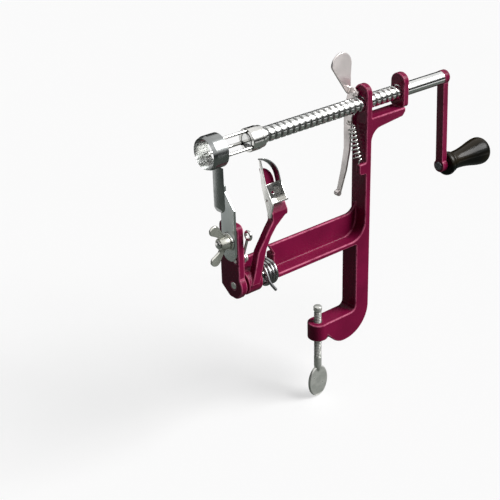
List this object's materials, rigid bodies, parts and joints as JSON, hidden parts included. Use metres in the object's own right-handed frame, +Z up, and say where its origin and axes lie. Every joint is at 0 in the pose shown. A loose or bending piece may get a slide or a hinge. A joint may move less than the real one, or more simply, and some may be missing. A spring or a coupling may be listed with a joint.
{
  "type": "hand cranked apple peeler",
  "caption": "Hand-cranked apple peeler that clamps to a table edge: threaded crank shaft with a fork, sprung peeling arm, coring ring and slicing blade.",
  "frame": {"origin": "the clamp screw's axis on the flat underside that rests on the table", "axes": "+X along the shaft towards the crank, +Z up, +Y away from the peeling arm's side"},
  "size_m": [0.2575, 0.0395, 0.2447],
  "materials": {
    "cast_paint": "gloss enamel over cast iron",
    "plated_steel": "bright nickel plate",
    "strip_steel": "satin zinc plate",
    "blade_steel": "ground stainless steel",
    "spring_wire": "plated spring wire",
    "turned_wood": "dark varnish"
  },
  "bodies": {
    "frame": {"clamp_frame": "cast_paint", "arm_pivot_pin": "plated_steel", "arm_pin_clip": "plated_steel", "lever_rivet": "strip_steel", "lever_spacer": "strip_steel", "latch_rivet": "strip_steel", "slicer_bolt": "plated_steel", "arm_spring": "spring_wire", "lever_spring": "spring_wire"},
    "feed_collar": {"fork_collar": "plated_steel"},
    "crank": {"crank_shaft": "plated_steel", "fork_hub": "plated_steel", "fork_prong_1": "plated_steel", "fork_prong_2": "plated_steel", "fork_prong_3": "plated_steel", "crank_arm": "cast_paint", "handle_pin": "plated_steel"},
    "grip": {"handle_grip": "turned_wood"},
    "lever": {"release_lever": "strip_steel"},
    "arm": {"peeling_arm": "cast_paint", "blade_holder": "plated_steel", "peeling_blade": "blade_steel", "depth_guard": "cast_paint"},
    "latch": {"arm_latch": "strip_steel"},
    "slicer": {"slicer_bracket": "strip_steel", "slicing_blade": "blade_steel", "corer_ring": "blade_steel"},
    "washer": {"slicer_washer": "plated_steel"},
    "wing_nut": {"slicer_wing_nut": "plated_steel"},
    "clamp_cap": {"clamp_tip": "strip_steel"},
    "clamp_bolt": {"clamp_screw": "strip_steel"}
  },
  "joints": [
    {"name": "shaft_feed", "type": "slide", "parent": "frame", "child": "feed_collar", "axis": [1, 0, 0], "range_m": [-0.037, 0.08]},
    {"name": "crank_turn", "type": "hinge", "parent": "feed_collar", "child": "crank", "pos_m": [0, 0, 0.0976], "axis": [1, 0, 0], "range_deg": [-2777, 6002]},
    {"name": "handle_spin", "type": "hinge", "parent": "crank", "child": "grip", "pos_m": [0.1204, -0.0026, 0.0326], "axis": [1, 0, 0], "continuous": true},
    {"name": "lever_release", "type": "hinge", "parent": "frame", "child": "lever", "pos_m": [0.0354, 0.003, 0.1045], "axis": [1, 0, 0], "range_deg": [0, 11.4], "stiffness_Nm_per_rad": 0.6, "springref_deg": -20.05, "deforming": ["lever_spring"]},
    {"name": "arm_swing", "type": "hinge", "parent": "frame", "child": "arm", "pos_m": [-0.066, -0.008, 0.0088], "axis": [1, 0, 0], "range_deg": [-3, 45], "stiffness_Nm_per_rad": 0.25, "springref_deg": -34.38, "deforming": ["arm_spring"]},
    {"name": "latch_swing", "type": "hinge", "parent": "frame", "child": "latch", "pos_m": [-0.0723, -0.0105, 0.027], "axis": [1, 0, 0], "range_deg": [-10, 30]},
    {"name": "slicer_lift", "type": "slide", "parent": "frame", "child": "slicer", "axis": [0, 0, 1], "range_m": [-0.0015, 0.0015]},
    {"name": "washer_travel", "type": "slide", "parent": "frame", "child": "washer", "axis": [1, 0, 0], "range_m": [-0.0016, 0]},
    {"name": "wing_nut_turn", "type": "hinge", "parent": "washer", "child": "wing_nut", "pos_m": [-0.085, -0.007, 0.04], "axis": [1, 0, 0], "range_deg": [-721, 0]},
    {"name": "clamp_travel", "type": "slide", "parent": "frame", "child": "clamp_cap", "axis": [0, 0, 1], "range_m": [-0.0085, 0.02]},
    {"name": "clamp_turn", "type": "hinge", "parent": "clamp_cap", "child": "clamp_bolt", "pos_m": [0, 0, -0.06], "axis": [0, 0, 1], "range_deg": [-2450, 5762]}
  ],
  "couplings": [
    {"joint": "crank_turn", "follows": "shaft_feed", "rad_per_m": 1309},
    {"joint": "wing_nut_turn", "follows": "washer_travel", "rad_per_m": 7854},
    {"joint": "clamp_turn", "follows": "clamp_travel", "rad_per_m": 5026.5}
  ]
}
